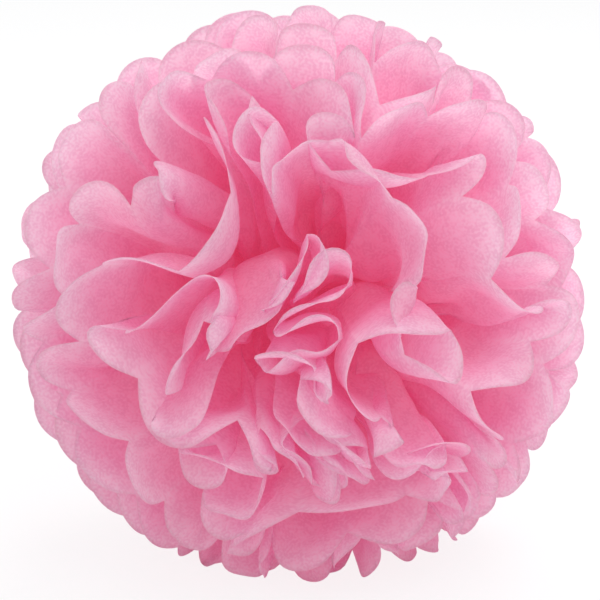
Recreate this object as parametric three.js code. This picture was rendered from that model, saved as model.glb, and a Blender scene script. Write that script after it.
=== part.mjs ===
// Tissue paper pom pom: twelve sheets of tissue paper, pleated together, gathered at the middle by one
// twisted wire, cut round at the pleats' ends and pulled apart into a ball.
// Units are millimetres and +Z is up. The ball stands on the plane z = 0, with the origin under its middle.
// The flower's face, where the front sheets open, looks along -Y and a little upwards.
import * as THREE from "three";

// The ball and how it stands.
const BALL_RADIUS = 125;
const CENTRE_HEIGHT = 112; // less than the radius: the lowest paper is bent over and lies on the floor
const FACE_ELEVATION = THREE.MathUtils.degToRad(10);
const STRIP_ROLL = THREE.MathUtils.degToRad(32); // turns the pleats' long direction away from level

// One flat sheet, before it is gathered.
const PLEATS = 14;
const PLEAT_WIDTH = 32;
const SCALLOP_DEPTH = 10; // how far each pleat's round end stands out from its corners
const SCALLOP_SHARES = [0.15, 0.5, 0.85]; // places across a pleat of its round end's corners
const PAPER_THICKNESS = 0.5;
const MITRE_LIMIT = 2.5; // how many half thicknesses the skin may move at a sharp fold

// The stack at the tie. The middle sheets have the longest and widest necks, so that the sheets nest.
const SHEET_COUNT = 12;
const STACK_STEP = 1;
const NECK_HALF_LENGTH = 4;
const NECK_LENGTH_STEP = 0.9;
const NECK_HALF_WIDTH = 4;
const NECK_WIDTH_STEP = 0.8;

// How the sheets are pulled apart: each is a cone round the flower's axis, and its pleats open outwards.
const FIRST_OPENING = THREE.MathUtils.degToRad(15);
const LAST_OPENING = THREE.MathUtils.degToRad(82);
const FOLD_STATIONS = [24, 48, 70, 92]; // distances from the tie at which the pleats are drawn
const PLEATS_START = 10; // past the neck, the pleats deepen from here
const PLEATS_FULL = 85; // to here
const INNER_FOLD_RADIUS = 8; // the inner folds of a narrow cone keep this far from the axis
const HALF_SPREAD = THREE.MathUtils.degToRad(93.5); // over 90, so that the side edges of two halves nearly meet

// The tie.
const WIRE_DIAMETER = 1;
const LOOP_HALF_WIDTH = 9.2;
const LOOP_HALF_HEIGHT = 7.6;
const TAIL_LENGTH = 28;
const TWIST_RADIUS = 0.68;
const TWIST_PITCH = 7;
const WIRE_SIDES = 6;
const WIRE_STEPS = 110;

// Directions of the stack: front is the flower's axis, along is the pleats' length, across is the pleats'
// stacking direction, where the sheets' side edges lie.
const front = new THREE.Vector3(0, -Math.cos(FACE_ELEVATION), Math.sin(FACE_ELEVATION));
const along = new THREE.Vector3(1, 0, 0).applyAxisAngle(front, STRIP_ROLL);
const across = new THREE.Vector3().crossVectors(front, along);
const frontOnFloor = new THREE.Vector3(0, -1, 0);

// Place in the stack, counted from the outermost sheet of either side: 0 to 5.
const depthInStack = (sheet) => Math.min(sheet, SHEET_COUNT - 1 - sheet);

function openingOf(sheet) {
  const share = depthInStack(sheet) / (SHEET_COUNT / 2 - 1);
  const opening = THREE.MathUtils.lerp(FIRST_OPENING, LAST_OPENING, share);
  return sheet < SHEET_COUNT / 2 ? opening : Math.PI - opening;
}

// +1 on a ridge, -1 in a valley, straight between them. Places across a sheet are counted in pleats.
function foldWave(place) {
  const pleat = Math.floor(place);
  const wave = 1 - 2 * (place - pleat);
  return pleat % 2 === 0 ? wave : -wave;
}

// Where a point of the flat sheet lies in the ball. place is in pleats from one side edge, and distance is
// in millimetres from the tie, negative on the second half.
function foldedPoint(sheet, place, distance) {
  const depth = depthInStack(sheet);
  const neckHalfLength = NECK_HALF_LENGTH + depth * NECK_LENGTH_STEP;
  const neckHalfWidth = NECK_HALF_WIDTH + depth * NECK_WIDTH_STEP;
  const sideways = (2 * place) / PLEATS - 1;
  const half = Math.sign(distance);
  const point = front.clone().multiplyScalar(((SHEET_COUNT - 1) / 2 - sheet) * STACK_STEP);
  point.addScaledVector(along, half * neckHalfLength).addScaledVector(across, sideways * neckHalfWidth);

  const reach = Math.abs(distance) - neckHalfLength;
  const opening = openingOf(sheet);
  const turn = sideways * HALF_SPREAD;
  const outwards = along.clone().multiplyScalar(half * Math.cos(turn));
  outwards.addScaledVector(across, Math.sin(turn));
  const ray = front.clone().multiplyScalar(Math.cos(opening)).addScaledVector(outwards, Math.sin(opening));
  const ridge = front.clone().multiplyScalar(Math.sin(opening)).addScaledVector(outwards, -Math.cos(opening));

  // The pleats are as deep as their width leaves once the cone's own arc is taken up. They are crushed near
  // the tie, and the inner folds of a narrow cone keep off its axis.
  const radius = reach * Math.sin(opening) + neckHalfWidth;
  const arc = ((2 * HALF_SPREAD) / PLEATS) * radius;
  const fullDepth = Math.sqrt(Math.max(PLEAT_WIDTH ** 2 - arc ** 2, 0)) / 2;
  const roomInside = Math.max(radius - INNER_FOLD_RADIUS, 0) / Math.abs(Math.cos(opening));
  const fade = THREE.MathUtils.smoothstep(reach, PLEATS_START, PLEATS_FULL);
  const pleatDepth = Math.min(fullDepth * fade, roomInside);
  point.addScaledVector(ray, reach).addScaledVector(ridge, pleatDepth * foldWave(place));
  return layOnFloor(point, opening);
}

// Paper that would reach through the floor is bent over and lies on it, forwards in the front sheets and
// backwards in the back ones.
function layOnFloor(point, opening) {
  const restHeight = PAPER_THICKNESS / 2 - CENTRE_HEIGHT;
  const depth = restHeight - point.z;
  if (depth <= 0) return { point, onFloor: false };
  const straightDown = Math.PI / 2 + FACE_ELEVATION;
  point.addScaledVector(frontOnFloor, opening < straightDown ? depth : -depth);
  point.z = restHeight;
  return { point, onFloor: true };
}

// One sheet's flat outline and folds, as points (place, distance) and triangles that face the front.
function flatSheet(sheet) {
  const neckHalfLength = NECK_HALF_LENGTH + depthInStack(sheet) * NECK_LENGTH_STEP;
  const stations = [neckHalfLength, ...FOLD_STATIONS, BALL_RADIUS - SCALLOP_DEPTH];
  const rows = [...stations.map((station) => -station).reverse(), ...stations];
  const columns = PLEATS + 1;
  const points = rows.flatMap((distance) => Array.from({ length: columns }, (_, place) => [place, distance]));
  const triangles = [];
  for (let row = 0; row < rows.length - 1; row++) {
    for (let pleat = 0; pleat < PLEATS; pleat++) {
      const a = row * columns + pleat;
      const b = a + columns;
      triangles.push([a, b + 1, a + 1], [a, b, b + 1]);
    }
  }
  for (const end of [-1, 1]) {
    const lastRow = end < 0 ? 0 : rows.length - 1;
    for (let pleat = 0; pleat < PLEATS; pleat++) {
      const corner = lastRow * columns + pleat;
      const rim = [corner];
      for (const share of SCALLOP_SHARES) {
        const rise = SCALLOP_DEPTH * Math.sqrt(1 - (2 * share - 1) ** 2);
        rim.push(points.length);
        points.push([pleat + share, end * (BALL_RADIUS - SCALLOP_DEPTH + rise)]);
      }
      rim.push(corner + 1);
      const centre = rim[2];
      triangles.push(
        ...[[rim[0], centre, rim[4]], [rim[0], rim[1], centre], [centre, rim[3], rim[4]]].map((triangle) =>
          end > 0 ? triangle : triangle.reverse(),
        ),
      );
    }
  }
  return { points, triangles };
}

// How far and which way each point moves from the middle of the paper to its front skin. The triangles that
// meet at a point count by their angle there, so that both sides of a fold count alike. At a sharp fold the
// skin moves further, as a mitre does, up to a limit.
function skinOffsets(places, triangles) {
  const sums = places.map(() => ({ normal: new THREE.Vector3(), angle: 0 }));
  for (const triangle of triangles) {
    const [a, b, c] = triangle.map((index) => places[index]);
    const normal = new THREE.Triangle(a, b, c).getNormal(new THREE.Vector3());
    triangle.forEach((index, corner) => {
      const [here, next, last] = [0, 1, 2].map((step) => places[triangle[(corner + step) % 3]]);
      const angle = next.clone().sub(here).angleTo(last.clone().sub(here));
      sums[index].normal.addScaledVector(normal, angle);
      sums[index].angle += angle;
    });
  }
  return sums.map(({ normal, angle }) => {
    const slant = normal.length() / angle; // cosine between the fold's middle direction and its sides
    return normal.setLength((PAPER_THICKNESS / 2) * Math.min(1 / slant, MITRE_LIMIT));
  });
}

// A closed solid of the paper's thickness round a folded sheet.
function sheetGeometry(sheet) {
  const { points, triangles } = flatSheet(sheet);
  const folded = points.map(([place, distance]) => foldedPoint(sheet, place, distance));
  const places = folded.map(({ point }) => point);
  const offsets = skinOffsets(places, triangles);
  const skin = (side) =>
    places.map((place, index) => {
      const moved = place.clone().addScaledVector(offsets[index], side);
      if (folded[index].onFloor) {
        moved.z = place.z + (Math.sign(offsets[index].z) * side * PAPER_THICKNESS) / 2;
      }
      return moved;
    });
  const vertices = [...skin(1), ...skin(-1)];
  const back = places.length;

  const faces = triangles.flatMap(([a, b, c]) => [[a, b, c], [back + c, back + b, back + a]]);
  const used = new Set(triangles.flatMap(([a, b, c]) => [`${a},${b}`, `${b},${c}`, `${c},${a}`]));
  for (const edge of used) {
    const [a, b] = edge.split(",").map(Number);
    if (!used.has(`${b},${a}`)) faces.push([b, a, back + a], [b, back + a, back + b]);
  }
  const geometry = new THREE.BufferGeometry();
  geometry.setAttribute("position", new THREE.Float32BufferAttribute(vertices.flatMap((v) => v.toArray()), 3));
  geometry.setIndex(faces.flat());
  return geometry;
}

// The wire's centre line: in along one strand of the twisted tail, once round the gathered sheets and out
// along the other strand. x is across, y is front, z is along.
class TieCurve extends THREE.Curve {
  getPoint(share, target = new THREE.Vector3()) {
    const loopLength = Math.PI * (LOOP_HALF_WIDTH + LOOP_HALF_HEIGHT);
    const loopShare = loopLength / (loopLength + 2 * TAIL_LENGTH);
    const tailShare = (1 - loopShare) / 2;
    const gap = Math.asin(TWIST_RADIUS / LOOP_HALF_HEIGHT); // the loop starts and ends beside the tail
    if (share > tailShare && share < 1 - tailShare) {
      const turn = gap + (2 * Math.PI - 2 * gap) * ((share - tailShare) / loopShare);
      return target.set(LOOP_HALF_WIDTH * Math.cos(turn), LOOP_HALF_HEIGHT * Math.sin(turn), 0);
    }
    const strand = share < 0.5 ? 0 : Math.PI;
    const out = (share < 0.5 ? tailShare - share : share - 1 + tailShare) / tailShare;
    const turn = strand + (2 * Math.PI * out * TAIL_LENGTH) / TWIST_PITCH;
    const start = LOOP_HALF_WIDTH * Math.cos(gap);
    return target.set(start + out * TAIL_LENGTH, TWIST_RADIUS * Math.cos(turn), TWIST_RADIUS * Math.sin(turn));
  }
}

function wireGeometry() {
  const section = new THREE.Shape();
  for (let side = 0; side < WIRE_SIDES; side++) {
    const turn = (2 * Math.PI * side) / WIRE_SIDES;
    const corner = [Math.cos(turn), Math.sin(turn)].map((value) => (value * WIRE_DIAMETER) / 2);
    if (side === 0) section.moveTo(...corner);
    else section.lineTo(...corner);
  }
  return new THREE.ExtrudeGeometry(section, { steps: WIRE_STEPS, extrudePath: new TieCurve() });
}

const paper = new THREE.MeshStandardMaterial({
  color: 0xf08cb0,
  roughness: 0.85,
  metalness: 0,
  side: THREE.DoubleSide,
});
const steel = new THREE.MeshStandardMaterial({ color: 0xb9bcc0, roughness: 0.4, metalness: 1 });

// Everything is built round the ball's centre, which the group then lifts to its height.
const ball = new THREE.Group();
for (let sheet = 0; sheet < SHEET_COUNT; sheet++) {
  const mesh = new THREE.Mesh(sheetGeometry(sheet), paper);
  mesh.name = `tissue_sheet_${String(sheet + 1).padStart(2, "0")}`;
  ball.add(mesh);
}
const wire = new THREE.Mesh(wireGeometry(), steel);
wire.name = "tie_wire";
wire.quaternion.setFromRotationMatrix(new THREE.Matrix4().makeBasis(across, front, along));
ball.add(wire);
ball.position.z = CENTRE_HEIGHT;

// The origin is under the middle of the whole ball's box.
const pompom = new THREE.Group();
pompom.add(ball);
const middle = new THREE.Box3().setFromObject(pompom, true).getCenter(new THREE.Vector3());
ball.position.x = -middle.x;
ball.position.y = -middle.y;

export default pompom;
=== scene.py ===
import math

import bmesh
import bpy
import numpy as np
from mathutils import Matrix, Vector


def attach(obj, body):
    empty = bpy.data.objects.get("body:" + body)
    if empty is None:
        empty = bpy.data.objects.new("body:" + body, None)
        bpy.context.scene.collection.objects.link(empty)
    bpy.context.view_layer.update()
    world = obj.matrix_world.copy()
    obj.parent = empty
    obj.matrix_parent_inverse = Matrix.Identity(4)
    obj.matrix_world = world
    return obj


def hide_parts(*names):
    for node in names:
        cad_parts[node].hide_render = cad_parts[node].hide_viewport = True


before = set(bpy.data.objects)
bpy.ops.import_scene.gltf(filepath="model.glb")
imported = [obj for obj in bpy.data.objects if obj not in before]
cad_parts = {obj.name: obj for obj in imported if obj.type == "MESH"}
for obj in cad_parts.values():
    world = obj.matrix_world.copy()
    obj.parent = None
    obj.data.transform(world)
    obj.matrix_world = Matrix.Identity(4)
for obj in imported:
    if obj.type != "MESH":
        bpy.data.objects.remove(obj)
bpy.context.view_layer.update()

# ------------------------------------------------------------------------------------------------
# The twelve sheets of tissue paper, as they are before they are opened.
# They are laid on each other, pleated together like a fan, and the ends of the pleats are cut round,
# so each sheet is a strip of fourteen pleats with a rounded lobe at both ends of every pleat.
# ------------------------------------------------------------------------------------------------
SHEETS = 12
PLEATS = 14
PLEAT_WIDTH = 0.033
HALF_LENGTH = 0.131        # from the tie to the tip of a lobe
LOBE_DEPTH = 0.015         # from the tip of a lobe back to the notches beside it
STEPS = 8                  # grid columns in a pleat
ROWS = 22                  # grid rows from the tie to the rim
COLUMNS = PLEATS * STEPS + 1

step_across = np.arange(COLUMNS) / STEPS
pleat = np.minimum(np.floor(step_across), PLEATS - 1).astype(int)
even = step_across - pleat
part = 0.5 * even + 0.25 * (1 - np.cos(np.pi * even))    # of the way across its pleat, closer at folds
from_middle = 2 * part - 1
share = np.linspace(0, 1, ROWS)[:, None]                 # of the way from the tie to the rim
lobe = LOBE_DEPTH * np.sqrt(np.clip(1 - from_middle**2, 0, 1))
distance = share * (HALF_LENGTH - LOBE_DEPTH) + share**3 * lobe
flat = np.stack([np.broadcast_to((pleat + part) * PLEAT_WIDTH, distance.shape), distance], axis=-1)

# ------------------------------------------------------------------------------------------------
# Opening the sheets. A wire ties the stack across its middle, and each half of each sheet is pulled
# round into a pleated cone about the flower's axis, steep for the first sheet and flat for the sixth.
# The other six sheets do the same at the back. Some pleats open wide and others stay bunched.
# ------------------------------------------------------------------------------------------------
FACE_ELEVATION = math.radians(6)
STRIP_ROLL = math.radians(32)             # of the pleats' long direction, from level
HALF_SPREAD = math.radians(93.5)          # of half a sheet to each side, just past its other half
OPENINGS = np.radians([15, 34, 49, 62, 74, 85])
STACK_STEP = 0.001                        # from one sheet to the next at the tie
NECK_HALF_LENGTH, NECK_LENGTH_STEP = 0.004, 0.0009
NECK_HALF_WIDTH, NECK_WIDTH_STEP = 0.004, 0.0008
BALL_CENTRE = np.array([0, 0, 0.112])
SEED = 40
BUNCHING = 0.7
OWN_BUNCHING = 0.3                        # of one sheet, beside what the whole stack shares
BUNCHING_BLUR = [0.3, 0.8, 0.3]           # over a pleat and its two neighbours
RIM_INSET = 0.008                         # from the tip of a lobe to where its width is measured
NARROWEST = 0.0025                        # a bunched pleat at the rim
WIDEST_SHARE = 0.97                       # an open pleat at the rim, of its flat width
WIDEST_TIMES = 3.4                        # and of the mean
LEAST_TIMES = 1.02
HALVINGS = 60                             # of the search for a scale that fills the rim
FOLD_START = 0.03                         # the folds reach their height this far from the tie
AXIS_ROOM = 0.003                         # kept free round the flower's axis
TIP_SPREAD, BOW_SPREAD, CURL_SPREAD = 0.004, 0.0035, 0.004

front = np.array([0, -math.cos(FACE_ELEVATION), math.sin(FACE_ELEVATION)])
side = np.array([1.0, 0, 0])
along = side * math.cos(STRIP_ROLL) + np.cross(front, side) * math.sin(STRIP_ROLL)
across = np.cross(front, along)
half_sheets = [(sheet, half) for sheet in range(SHEETS) for half in (1, -1)]
chance = np.random.default_rng(SEED)
shared_bunching = chance.normal(size=(2, PLEATS))        # for each half of the strip


def smoothstep(low, high, value):
    """0 below low, 1 above high and a smooth rise between them."""
    t = np.clip((value - low) / (high - low), 0, 1)
    return t * t * (3 - 2 * t)


def fold_turns(half, opening):
    """The turn round the axis of each fold, far apart for open pleats and close for bunched ones."""
    bunching = shared_bunching[(half + 1) // 2] + OWN_BUNCHING * chance.normal(size=PLEATS)
    bunching = np.convolve(np.pad(bunching, 1, mode="reflect"), BUNCHING_BLUR, mode="valid")
    rim = 2 * HALF_SPREAD * math.sin(opening) * (HALF_LENGTH - RIM_INSET)
    widest = max(min(WIDEST_SHARE * PLEAT_WIDTH, WIDEST_TIMES * rim / PLEATS), LEAST_TIMES * rim / PLEATS)
    low, high = 0.0, 1.0
    for _ in range(HALVINGS):
        scale = (low + high) / 2
        width = np.clip(scale * np.exp(BUNCHING * bunching), NARROWEST, widest)
        if width.sum() < rim:
            low = scale
        else:
            high = scale
    edges = np.concatenate([[0], np.cumsum(width)]) / width.sum()
    return (2 * edges - 1) * HALF_SPREAD


def opened(sheet, half):
    """One half sheet as a pleated cone: its grid of points, from the tie to the rim."""
    layer = min(sheet, SHEETS - 1 - sheet)
    opening = OPENINGS[layer] if sheet < SHEETS / 2 else math.pi - OPENINGS[layer]
    neck_length = NECK_HALF_LENGTH + layer * NECK_LENGTH_STEP
    neck_width = NECK_HALF_WIDTH + layer * NECK_WIDTH_STEP
    folds = fold_turns(half, opening)
    turn = folds[pleat] + part * np.diff(folds)[pleat]
    reach = np.maximum(distance - neck_length, 0)
    outwards = half * np.cos(turn)[:, None] * along + np.sin(turn)[:, None] * across
    ray = front * math.cos(opening) + outwards * math.sin(opening)
    ridge = front * math.sin(opening) - outwards * math.cos(opening)
    root = front * ((SHEETS - 1) / 2 - sheet) * STACK_STEP + along * half * neck_length
    root = root + (turn / HALF_SPREAD * neck_width)[:, None] * across
    radius = reach * math.sin(opening) + neck_width
    arc = np.diff(folds)[None, :] * radius.mean(axis=1)[:, None]
    height = np.sqrt(np.maximum(PLEAT_WIDTH**2 - arc**2, 0))
    fold = np.concatenate([height[:, :1], (height[:, 1:] + height[:, :-1]) / 2, height[:, -1:]], axis=1)
    fold = fold / 2 * np.where(np.arange(PLEATS + 1) % 2 == 0, 1, -1)
    level = fold[:, pleat] * (1 - part) + fold[:, pleat + 1] * part
    room = np.maximum(radius - AXIS_ROOM, 0) / abs(math.cos(opening))
    level = np.clip(level * smoothstep(0, FOLD_START, reach), -room, room)
    tip = chance.normal(size=PLEATS + 1) * TIP_SPREAD     # each fold stands higher or lower,
    bow = chance.normal(size=PLEATS) * BOW_SPREAD         # each pleat bows
    curl = chance.normal(size=PLEATS) * CURL_SPREAD       # and each lobe curls
    crown = 1 - from_middle**2
    level = level + (tip[pleat] * (1 - part) + tip[pleat + 1] * part) * share**2
    level = level + bow[pleat] * crown * smoothstep(0.3, 1, share)           # along its outer part
    level = level + curl[pleat] * crown * smoothstep(0.85, 1.05, share)      # and at its tip only
    return root + ray * reach[..., None] + ridge * level[..., None]


points = np.stack([opened(sheet, half) for sheet, half in half_sheets])

# ------------------------------------------------------------------------------------------------
# Fluffing. Fingers turn and push the petals every way as they open them. One smooth random swirl
# round the ball leans and bends all the sheets together. It is stronger near the middle of the
# flower, where the paper is handled most.
# ------------------------------------------------------------------------------------------------
SWIRL = 0.22                              # typical way round the ball, in radians
CENTRE_SWIRL = 1.2                        # how much more near the flower's axis
CENTRE_FADE = 0.2
SWIRL_START, SWIRL_FULL = 0.01, 0.09      # distances from the tie
SWIRL_STEPS = 16
SWIRL_WAVES = 26
FEWEST_RADIANS, MOST_RADIANS = 4, 11      # of a wave, along one radius of the ball
PROBES, PROBE_DIVISOR = 400, 1.7

pick = np.random.default_rng(SEED + 50)
way = pick.normal(size=(SWIRL_WAVES, 3))
way = way / np.linalg.norm(way, axis=1, keepdims=True)
way = way * pick.uniform(FEWEST_RADIANS, MOST_RADIANS, size=(SWIRL_WAVES, 1))
begin = pick.uniform(0, 2 * np.pi, SWIRL_WAVES)
weight = 1 / np.linalg.norm(way, axis=1)


def centre_share(unit):
    """1 on the flower's axis, fading to 0 towards the ball's outline."""
    return np.exp((unit @ front - 1) / CENTRE_FADE)


def flow(unit):
    """The swirl's direction and speed at points of a unit ball."""
    return np.cross(unit, (np.cos(unit @ way.T + begin) * weight) @ way)


typical = np.sqrt((flow(pick.normal(size=(PROBES, 3)) / PROBE_DIVISOR) ** 2).sum(axis=1).mean())
size = np.linalg.norm(points, axis=-1, keepdims=True)
unit = points / np.maximum(size, 1e-9)
for _ in range(SWIRL_STEPS):
    speed = SWIRL * (1 + CENTRE_SWIRL * centre_share(unit))[..., None]
    speed = speed * smoothstep(SWIRL_START, SWIRL_FULL, size)
    unit = unit + flow(unit) * speed / (SWIRL_STEPS * typical)
    unit = unit / np.maximum(np.linalg.norm(unit, axis=-1, keepdims=True), 1e-9)
points = unit * size

# ------------------------------------------------------------------------------------------------
# Settling. Paper hardly stretches, so the points are moved until the stretches of the grid are near
# their flat lengths again, with layers pushed apart and nothing under the floor. Then random creases
# are drawn in while the paper goes on settling.
# ------------------------------------------------------------------------------------------------
FREE_SHARE = 0.35                         # layers are pushed apart from here on out to the rim
CLEARANCE = 0.0042                        # that they are pushed towards
PAIR_REACH = 0.0065                       # pairs of points this close are watched
PAIR_EVERY = 15                           # rounds between two searches for such pairs
CELLS, FIRST_CELL = 512, 200              # of the search grid, along each side and at the tie
NEIGHBOURS = 2                            # grid steps on the paper that don't count as another layer
CROWD, MOST_PUSH = 1.5, 0.7               # limits on the push on a point with many close to it
SLANT_STRENGTH = 0.35                     # of the lengths across the grid's cells
FLUFFED_RADIUS = 0.127                    # no lobe is pulled out further than this
FLOOR_GAP = 0.0004
LEAST_FLOOR_GAP = 0.0003
HOLD = 0.02                               # share of the way to its target in each round
ROUNDS, SOFTNESS = 60, 0.06
CREASING_ROUNDS, CREASING_SOFTNESS = 120, 0.015
CREASES = 130                             # in half a sheet
CREASE_SEED = 100
CREASE_START = 0.03                       # the nearest to the tie
NARROW_CREASE, WIDE_CREASE = 0.007, 0.018
CREASE_SLOPE = 0.45
CRUMPLING = 2.7
CENTRE_CRUMPLING = 1.0                    # how much more near the flower's axis

length_across = np.linalg.norm(np.diff(flat, axis=1), axis=-1)
length_out = np.linalg.norm(np.diff(flat, axis=0), axis=-1)
slant_down = np.linalg.norm(flat[1:, 1:] - flat[:-1, :-1], axis=-1)
slant_up = np.linalg.norm(flat[1:, :-1] - flat[:-1, 1:], axis=-1)
free_row = int(ROWS * FREE_SHARE)
floor_level = FLOOR_GAP - BALL_CENTRE[2]


def pull(grid, first, second, length, strength):
    """Moves two sets of points along the lines between them, towards their length on the flat sheet."""
    gap = grid[second] - grid[first]
    now = np.sqrt(np.einsum("...k,...k->...", gap, gap)) + 1e-9
    move = gap * (0.5 * strength * (1 - length / now))[..., None]
    grid[first] += move
    grid[second] -= move


def pairs_of(count, start):
    """Slices for the first and second of every other pair of neighbours among count."""
    many = len(range(start, count - 1, 2))
    return slice(start, start + 2 * many, 2), slice(start + 1, start + 1 + 2 * many, 2)


def close_pairs(grid):
    """Pairs of points that are close in the ball but aren't neighbours on the paper."""
    outer = grid[:, free_row:].reshape(-1, 3)
    number = np.arange(len(outer))
    half_sheet, rest = np.divmod(number, (ROWS - free_row) * COLUMNS)
    row, column = np.divmod(rest, COLUMNS)
    cell = np.floor(outer / PAIR_REACH).astype(np.int64) + FIRST_CELL
    key = (cell[:, 0] * CELLS + cell[:, 1]) * CELLS + cell[:, 2]
    order = np.argsort(key, kind="stable")
    ordered = key[order]
    beside = (-1, 0, 1)
    shifts = [(dx * CELLS + dy) * CELLS + dz for dx in beside for dy in beside for dz in beside]
    found = []
    for shift in shifts:
        if shift < 0:
            continue
        start = np.searchsorted(ordered, ordered + shift, side="left")
        stop = np.searchsorted(ordered, ordered + shift, side="right")
        if shift == 0:
            start = np.maximum(start, number + 1)
        many = np.maximum(stop - start, 0)
        ahead = np.repeat(start - np.concatenate([[0], np.cumsum(many)[:-1]]), many)
        one, two = order[np.repeat(number, many)], order[ahead + np.arange(many.sum())]
        gap = outer[one] - outer[two]
        near = np.einsum("ij,ij->i", gap, gap) < PAIR_REACH**2
        one, two = one[near], two[near]
        joined = (half_sheet[one] == half_sheet[two]) & (np.abs(row[one] - row[two]) <= NEIGHBOURS)
        joined &= np.abs(column[one] - column[two]) <= NEIGHBOURS
        found.append(np.stack([one[~joined], two[~joined]]))
    return np.concatenate(found, axis=1)


def part_layers(grid, pairs):
    """Pushes close points of different layers apart."""
    outer = grid[:, free_row:].reshape(-1, 3)
    total = len(outer)
    gap = outer[pairs[0]] - outer[pairs[1]]
    now = np.sqrt(np.einsum("ij,ij->i", gap, gap)) + 1e-9
    touching = now < CLEARANCE
    one, two = pairs[:, touching]
    move = gap[touching] * (0.5 * (CLEARANCE / now[touching] - 1))[:, None]
    count = np.bincount(one, minlength=total) + np.bincount(two, minlength=total)
    push = np.stack([np.bincount(one, move[:, k], minlength=total)
                     - np.bincount(two, move[:, k], minlength=total) for k in range(3)], axis=1)
    push *= np.minimum(CROWD / np.maximum(count, 1), MOST_PUSH)[:, None]
    grid[:, free_row:] += push.reshape(grid[:, free_row:].shape)


def settled(grid, target, rounds, hold, softness):
    """The grid after rounds of settling. hold draws it to its target, softness smooths its bends."""
    began = np.linalg.norm(np.diff(target, axis=2), axis=-1)
    loose = smoothstep(0.05, 0.3, share[:, 0])               # packed narrow at the tie, then free
    rest_across = began * (1 - loose)[:, None] + length_across * loose[:, None]
    moves = smoothstep(0.04, 0.25, share[:, 0])[:, None, None]    # the tie holds its paper still
    slant_strength = SLANT_STRENGTH * smoothstep(0.25, 0.5, share[1:])
    off_fold = (np.arange(COLUMNS) % STEPS != 0)[1:-1, None]      # so that the folds stay sharp
    pairs = None
    for turn in range(rounds):
        before = grid.copy()
        for start in (0, 1):
            one, two = pairs_of(COLUMNS, start)
            pull(grid, np.s_[:, :, one], np.s_[:, :, two], rest_across[:, :, one], 1.0)
        for start in (0, 1):
            one, two = pairs_of(ROWS, start)
            pull(grid, np.s_[:, one], np.s_[:, two], length_out[one], 1.0)
        for start_row in (0, 1):
            inner, outer = pairs_of(ROWS, start_row)
            for start_column in (0, 1):
                left, right = pairs_of(COLUMNS, start_column)
                strength = slant_strength[inner]
                pull(grid, np.s_[:, inner, left], np.s_[:, outer, right], slant_down[inner, left], strength)
                pull(grid, np.s_[:, outer, left], np.s_[:, inner, right], slant_up[inner, left], strength)
        grid[:, :, 1:-1] += softness * off_fold * (grid[:, :, :-2] + grid[:, :, 2:] - 2 * grid[:, :, 1:-1])
        grid[:, 1:-1] += softness * (grid[:, :-2] + grid[:, 2:] - 2 * grid[:, 1:-1])
        grid += hold * (target - grid)
        if turn % PAIR_EVERY == 0:
            pairs = close_pairs(grid)
        part_layers(grid, pairs)
        reached = np.sqrt(np.einsum("...k,...k->...", grid, grid))[..., None]
        grid *= np.minimum(FLUFFED_RADIUS / np.maximum(reached, 1e-9), 1)
        grid[..., 2] += np.maximum(floor_level - grid[..., 2], 0)
        grid = before + (grid - before) * moves
    return grid


def creased(number):
    """Rises and falls over half a flat sheet with straight creases in random places and directions."""
    pick = np.random.default_rng(CREASE_SEED + number)
    rise = np.zeros(flat.shape[:2])
    for _ in range(CREASES):
        spot = np.array([pick.uniform(0, PLEATS * PLEAT_WIDTH), pick.uniform(CREASE_START, HALF_LENGTH)])
        angle = pick.uniform(0, np.pi)
        away = flat - spot
        near = np.exp(-(away**2).sum(axis=-1) / (2 * pick.uniform(NARROW_CREASE, WIDE_CREASE) ** 2))
        rise += pick.uniform(-1, 1) * np.abs(away @ [np.cos(angle), np.sin(angle)]) * near
    return CREASE_SLOPE * rise


points = settled(points.copy(), points, ROUNDS, HOLD, SOFTNESS)
facing = np.cross(np.gradient(points, axis=2), np.gradient(points, axis=1))
facing /= np.linalg.norm(facing, axis=-1, keepdims=True) + 1e-12
unit = points / np.linalg.norm(points, axis=-1, keepdims=True)
depth = CRUMPLING * (1 + CENTRE_CRUMPLING * centre_share(unit)) * smoothstep(0.2, 0.5, share)
rise = np.stack([creased(number) for number in range(len(half_sheets))])
crumpled = points + facing * (rise * depth)[..., None]
points = settled(points.copy(), crumpled, CREASING_ROUNDS, HOLD, CREASING_SOFTNESS)

points = points + BALL_CENTRE
points[..., 2] = np.maximum(points[..., 2], LEAST_FLOOR_GAP)

# ------------------------------------------------------------------------------------------------
# Tissue paper: thin dyed wood fibre, which scatters half of the light falling on it to its other side.
# The colour is painted light and shade: pale at the cut edge, where a lone lobe is lit through, and a
# strong rose pink towards the tie, where the deep folds lie in shade. A pink emission paints a glow for
# light between the layers. The fibres lie in faint clouds, the fingers leave shallow creases, and the dull
# surface has only a weak, wide shine.
# ------------------------------------------------------------------------------------------------
SHEET_SPAN = 0.5                          # metres of paper across the UV map
CLOUD_SIZE = 0.006
FIBRE_SIZE = 0.0012
GRAIN_LOW, GRAIN_HIGH = 0.12, 0.38        # of clouds times fibres, from clear to fully tinted
CREASE_SIZE = 0.018                       # from one crease to the next
CREASE_RELIEF = 3.0                       # height of the creases beside that of the grain
RELIEF_HEIGHT, RELIEF_STRENGTH = 0.0004, 0.6
CUT_EDGE = 0.0006                         # width of the paler cut edge
EDGE_SHARE = 0.7                          # of the edge's colour, at the very edge
PAPER_THICKNESS = 0.00015                 # real tissue is about 0.02 mm
# painted light and shade: pale at the cut edge, where a lone lobe is lit through, deepening to rose towards
# the tie, where the folds lie in shade
PAINTED_PALE_RIM_PINK = "f8e8f3"
PAINTED_SHADE_MIDDLE_PINK, MIDDLE_IN = "f8cde3", 0.018  # and how far in from the cut edge
PAINTED_SHADE_DEEP_PINK, DEEP_IN = "f9b4cf", 0.09       # and how far in, near the tie
TINT = "f7e9f1"                           # multiplies the colour where the fibres lie thicker
EDGE_PINK = "fbdcea"
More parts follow.
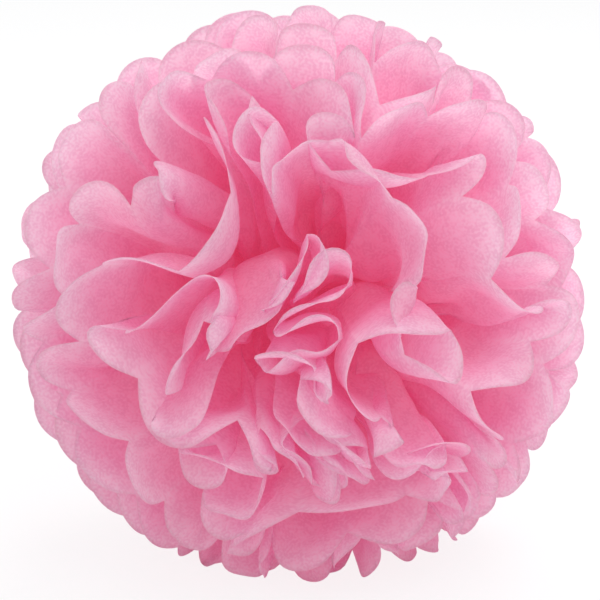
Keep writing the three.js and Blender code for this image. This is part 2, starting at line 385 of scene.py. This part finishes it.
# painted glow: the paper emits pink light, though it is no lamp
PAINTED_GLOW_PINK = "ff7cac"                      # stands in for light that goes between the layers more times
PAINTED_GLOW_STRENGTH = 0.185                     # than the render follows
THROUGH = 0.56                            # share of the scattered light that leaves on the other side


def linear(text):
    """An sRGB hex colour as linear red, green, blue and alpha."""
    parts = [int(text[i:i + 2], 16) / 255 for i in (0, 2, 4)]
    return [p / 12.92 if p <= 0.04045 else ((p + 0.055) / 1.055) ** 2.4 for p in parts] + [1]


def add(tree, kind, settings=None, links=None):
    """Adds one node. settings are its properties and plain values, links the sockets feeding it."""
    node = tree.nodes.new(kind)
    for name, value in (settings or {}).items():
        if isinstance(name, str) and hasattr(node, name):
            setattr(node, name, value)
        else:
            node.inputs[name].default_value = value
    for name, source in (links or {}).items():
        tree.links.new(source, node.inputs[name])
    return node


paper = bpy.data.materials.new("dyed_tissue_paper")
paper.use_nodes = True
tree = paper.node_tree
tree.nodes.clear()
sheet_uv = add(tree, "ShaderNodeUVMap", {"uv_map": "flat_sheet"}).outputs["UV"]
clouds = add(tree, "ShaderNodeTexNoise",
             {"noise_dimensions": "2D", "Scale": SHEET_SPAN / CLOUD_SIZE, "Detail": 2.0},
             {"Vector": sheet_uv})
fibres = add(tree, "ShaderNodeTexNoise",
             {"noise_dimensions": "2D", "Scale": SHEET_SPAN / FIBRE_SIZE, "Detail": 0.0},
             {"Vector": sheet_uv})
creases = add(tree, "ShaderNodeTexVoronoi",
              {"voronoi_dimensions": "2D", "Scale": SHEET_SPAN / CREASE_SIZE},
              {"Vector": sheet_uv})
edge_distance = add(tree, "ShaderNodeAttribute", {"attribute_name": "from_cut_edge"}).outputs["Fac"]
# painted light and shade: the ramp pales the cut edge and deepens the pink towards the tie
painted_light_and_shade = add(tree, "ShaderNodeValToRGB", {}, {0: edge_distance})
ramp = painted_light_and_shade.color_ramp
ramp.elements[0].color = linear(PAINTED_PALE_RIM_PINK)
ramp.elements[1].position = DEEP_IN
ramp.elements[1].color = linear(PAINTED_SHADE_DEEP_PINK)
ramp.elements.new(MIDDLE_IN).color = linear(PAINTED_SHADE_MIDDLE_PINK)
grain = add(tree, "ShaderNodeMath", {"operation": "MULTIPLY"},
            {0: clouds.outputs["Fac"], 1: fibres.outputs["Fac"]})
mottle = add(tree, "ShaderNodeMapRange", {"From Min": GRAIN_LOW, "From Max": GRAIN_HIGH},
             {"Value": grain.outputs[0]})
# the fibre tint multiplies the painted light and shade
dye_and_painted_shade = add(tree, "ShaderNodeMix", {"data_type": "RGBA", "blend_type": "MULTIPLY", 7: linear(TINT)},
          {0: mottle.outputs["Result"], 6: painted_light_and_shade.outputs[0]})
edge = add(tree, "ShaderNodeMapRange",
           {"From Min": 0.0, "From Max": CUT_EDGE, "To Min": EDGE_SHARE, "To Max": 0.0},
           {"Value": edge_distance})
colour = add(tree, "ShaderNodeMix", {"data_type": "RGBA", 7: linear(EDGE_PINK)},
             {0: edge.outputs["Result"], 6: dye_and_painted_shade.outputs[2]}).outputs[2]
relief = add(tree, "ShaderNodeMath", {"operation": "MULTIPLY_ADD", 1: CREASE_RELIEF},
             {0: creases.outputs["Distance"], 2: grain.outputs[0]})
bump = add(tree, "ShaderNodeBump", {"Strength": RELIEF_STRENGTH, "Distance": RELIEF_HEIGHT},
           {"Height": relief.outputs[0]}).outputs[0]
# painted glow: the paper's emission stands in for light between the layers
skin = add(tree, "ShaderNodeBsdfPrincipled",
           {"Roughness": 0.8, "Specular IOR Level": 0.3,
            "Emission Color": linear(PAINTED_GLOW_PINK), "Emission Strength": PAINTED_GLOW_STRENGTH},
           {"Base Color": colour, "Normal": bump})
passed = add(tree, "ShaderNodeBsdfTranslucent", {}, {"Color": colour, "Normal": bump})
layer = add(tree, "ShaderNodeMixShader", {0: THROUGH}, {1: skin.outputs[0], 2: passed.outputs[0]})
inside = add(tree, "ShaderNodeBsdfTransparent")           # so the shell's two faces act as one layer
geometry = add(tree, "ShaderNodeNewGeometry")
whole = add(tree, "ShaderNodeMixShader", {},
            {0: geometry.outputs["Backfacing"], 1: layer.outputs[0], 2: inside.outputs[0]})
add(tree, "ShaderNodeOutputMaterial", {}, {"Surface": whole.outputs[0]})

map_across = np.concatenate([flat[::-1, :, 0], flat[:, :, 0]])
map_along = np.concatenate([-flat[::-1, :, 1], flat[:, :, 1]]) + HALF_LENGTH
sheet_map = (np.stack([map_across, map_along], axis=-1) / SHEET_SPAN).reshape(-1, 2)
edge_gap = distance[-1] - distance
edge_gap = np.concatenate([edge_gap[::-1], edge_gap]).reshape(-1)

for sheet in range(SHEETS):
    name = f"tissue_{sheet + 1:02d}"
    bm = bmesh.new()
    bmesh.ops.create_grid(bm, x_segments=COLUMNS - 1, y_segments=2 * ROWS - 1, size=1)
    bm.verts.ensure_lookup_table()
    places = np.concatenate([points[2 * sheet + 1][::-1], points[2 * sheet]]).reshape(-1, 3)
    crease = bm.edges.layers.float.new("crease_edge")
    gap_layer = bm.verts.layers.float.new("from_cut_edge")
    uv_layer = bm.loops.layers.uv.new("flat_sheet")
    for vertex, place, gap in zip(bm.verts, places, edge_gap):
        vertex.co = place
        vertex[gap_layer] = gap
    for line in bm.edges:
        columns = {vertex.index % COLUMNS for vertex in line.verts}
        if len(columns) == 1 and columns.pop() % STEPS == 0:    # along a fold
            line[crease] = 1.0
            line.smooth = False
    for face in bm.faces:
        face.smooth = True
        for loop in face.loops:
            loop[uv_layer].uv = sheet_map[loop.vert.index]
    mesh = bpy.data.meshes.new(name)
    bm.to_mesh(mesh)
    bm.free()
    mesh.materials.append(paper)
    piece = bpy.data.objects.new(name, mesh)
    bpy.context.scene.collection.objects.link(piece)
    finer = piece.modifiers.new("finer", "SUBSURF")
    finer.levels = finer.render_levels = 1
    wall = piece.modifiers.new("wall", "SOLIDIFY")
    wall.thickness = PAPER_THICKNESS
    wall.offset = 0
    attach(piece, "root")
    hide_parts(f"tissue_sheet_{sheet + 1:02d}")

# ------------------------------------------------------------------------------------------------
# The tie: soft steel wire, drawn through a die, bent round the middle of the folded stack and
# twisted. It is hidden deep in the folds, and its shape is the CAD's. Drawing leaves the steel grey
# and bright, with fine uneven marks that blur what it reflects.
# ------------------------------------------------------------------------------------------------
DRAW_MARK = 0.0004                        # size of the marks
STEEL_DULL, STEEL_BRIGHT = "b9bcc0", "d6d8da"
MARK_DEPTH, MARK_STRENGTH = 0.00005, 0.3

steel = bpy.data.materials.new("drawn_steel_wire")
steel.use_nodes = True
tree = steel.node_tree
tree.nodes.clear()
wire_place = add(tree, "ShaderNodeTexCoord").outputs["Object"]
drawn = add(tree, "ShaderNodeTexNoise", {"Scale": 1 / DRAW_MARK, "Detail": 2.0},
            {"Vector": wire_place}).outputs["Fac"]
tone = add(tree, "ShaderNodeMix", {"data_type": "RGBA", 6: linear(STEEL_DULL), 7: linear(STEEL_BRIGHT)},
           {0: drawn})
polish = add(tree, "ShaderNodeMapRange", {"To Min": 0.25, "To Max": 0.45}, {"Value": drawn})
scratch = add(tree, "ShaderNodeBump", {"Strength": MARK_STRENGTH, "Distance": MARK_DEPTH},
              {"Height": drawn})
metal = add(tree, "ShaderNodeBsdfPrincipled", {"Metallic": 1.0},
            {"Base Color": tone.outputs[2], "Roughness": polish.outputs["Result"],
             "Normal": scratch.outputs[0]})
add(tree, "ShaderNodeOutputMaterial", {}, {"Surface": metal.outputs[0]})
for slot in bpy.data.objects["tie_wire"].material_slots:
    slot.material = steel

# ------------------------------------------------------------------------------------------------
# The studio: a matt white acrylic floor that the camera sees as if lit through from below, a large
# soft light above and in front, a smaller one behind that shines through the top petals, and white
# all round.
# ------------------------------------------------------------------------------------------------
CAMERA_ELEVATION = math.radians(15)
CAMERA_DISTANCE = 0.95
VIEW_WIDTH = 0.264                        # across the frame at the ball's middle
AIM_DROP = 0.002                          # below the ball's middle
SENSOR_WIDTH = 36
FLOOR_HALF_WIDTH = 3
FLOOR_WHITE, FLOOR_SEEN_GREY = "f9f9fb", "6c6c6e"
FLOOR_LIGHT = 0.84
ROOM_LIGHT = 0.645

lens = bpy.data.cameras.new("camera")
lens.sensor_width = SENSOR_WIDTH
lens.lens = SENSOR_WIDTH * CAMERA_DISTANCE / VIEW_WIDTH
camera = bpy.data.objects.new("camera", lens)
bpy.context.scene.collection.objects.link(camera)
bpy.context.scene.camera = camera
back = Vector((0, -math.cos(CAMERA_ELEVATION), math.sin(CAMERA_ELEVATION)))
camera.location = Vector(BALL_CENTRE) + Vector((0, 0, -AIM_DROP)) + back * CAMERA_DISTANCE
camera.rotation_euler = (-back).to_track_quat("-Z", "Y").to_euler()

bm = bmesh.new()
bmesh.ops.create_grid(bm, x_segments=1, y_segments=1, size=FLOOR_HALF_WIDTH)
floor_mesh = bpy.data.meshes.new("floor")
bm.to_mesh(floor_mesh)
bm.free()
floor = bpy.data.objects.new("floor", floor_mesh)
bpy.context.scene.collection.objects.link(floor)

acrylic = bpy.data.materials.new("white_acrylic")
acrylic.use_nodes = True
tree = acrylic.node_tree
tree.nodes.clear()
board = add(tree, "ShaderNodeBsdfPrincipled", {"Base Color": linear(FLOOR_WHITE), "Roughness": 0.9})
lit_board = add(tree, "ShaderNodeBsdfPrincipled",
                {"Base Color": linear(FLOOR_SEEN_GREY), "Roughness": 0.9,
                 "Emission Color": linear("ffffff"), "Emission Strength": FLOOR_LIGHT})
ray = add(tree, "ShaderNodeLightPath")
seen = add(tree, "ShaderNodeMixShader", {},
           {0: ray.outputs["Is Camera Ray"], 1: board.outputs[0], 2: lit_board.outputs[0]})
add(tree, "ShaderNodeOutputMaterial", {}, {"Surface": seen.outputs[0]})
floor_mesh.materials.append(acrylic)

world = bpy.data.worlds.new("studio")
world.use_nodes = True
surround = world.node_tree.nodes["Background"]
surround.inputs["Color"].default_value = (1, 1, 1, 1)
surround.inputs["Strength"].default_value = ROOM_LIGHT
bpy.context.scene.world = world
bpy.context.scene.view_settings.view_transform = "Standard"
bpy.context.scene.cycles.transparent_max_bounces = 24


def softbox(name, place, width, power):
    """Adds a square area light that faces the ball's middle."""
    light = bpy.data.lights.new(name, "AREA")
    light.shape = "SQUARE"
    light.size = width
    light.energy = power
    lamp = bpy.data.objects.new(name, light)
    bpy.context.scene.collection.objects.link(lamp)
    lamp.location = place
    lamp.rotation_euler = (Vector(place) - Vector(BALL_CENTRE)).to_track_quat("Z", "Y").to_euler()


softbox("key", (0.4, -0.6, 1.5), 1.0, 7.2)
softbox("rim", (0.3, 1.0, 1.1), 0.8, 9)
